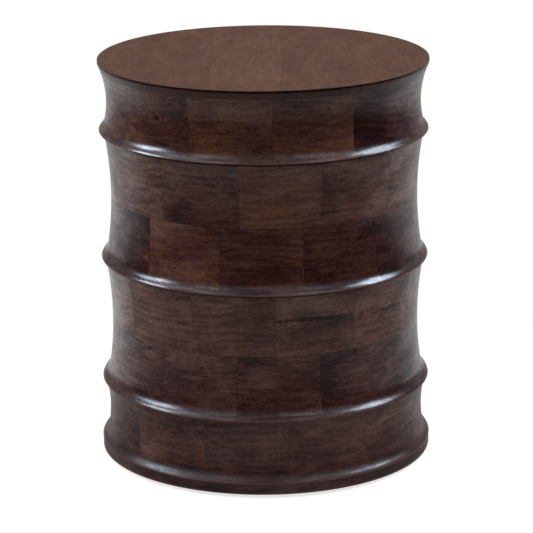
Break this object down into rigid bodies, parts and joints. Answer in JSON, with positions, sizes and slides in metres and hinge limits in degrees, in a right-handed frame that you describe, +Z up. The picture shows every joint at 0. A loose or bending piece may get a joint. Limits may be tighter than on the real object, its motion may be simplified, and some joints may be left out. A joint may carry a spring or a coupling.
{
  "type": "round side table",
  "caption": "Round wooden side table: a hollow turned drum with shallow flutes between sharp ridges, under a flat board top.",
  "frame": {"origin": "on the floor, under the middle of the drum", "axes": "+Z up along the drum's turning axis, -Y towards the front of the picture, +X to its right"},
  "size_m": [0.407, 0.407, 0.49],
  "materials": {
    "drum_wood": "dark walnut stain under satin lacquer",
    "top_wood": "walnut stain under matt lacquer",
    "glide_nylon": "moulded brown nylon",
    "nail_steel": "bright drawn wire"
  },
  "bodies": {
    "root": {"base_half_ring_1": "drum_wood", "base_half_ring_2": "drum_wood", "foot_half_ring_1": "drum_wood", "foot_half_ring_2": "drum_wood", "lower_ridge_half_ring_1": "drum_wood", "lower_ridge_half_ring_2": "drum_wood", "lower_flute_half_ring_1": "drum_wood", "lower_flute_half_ring_2": "drum_wood", "upper_ridge_half_ring_1": "drum_wood", "upper_ridge_half_ring_2": "drum_wood", "upper_flute_half_ring_1": "drum_wood", "upper_flute_half_ring_2": "drum_wood", "neck_half_ring_1": "drum_wood", "neck_half_ring_2": "drum_wood", "top_board_1": "top_wood", "top_board_2": "top_wood", "top_board_3": "top_wood", "top_board_4": "top_wood", "top_board_5": "top_wood", "glide_1": "glide_nylon", "glide_2": "glide_nylon", "glide_3": "glide_nylon", "glide_4": "glide_nylon", "glide_nails": "nail_steel"}
  },
  "joints": []
}
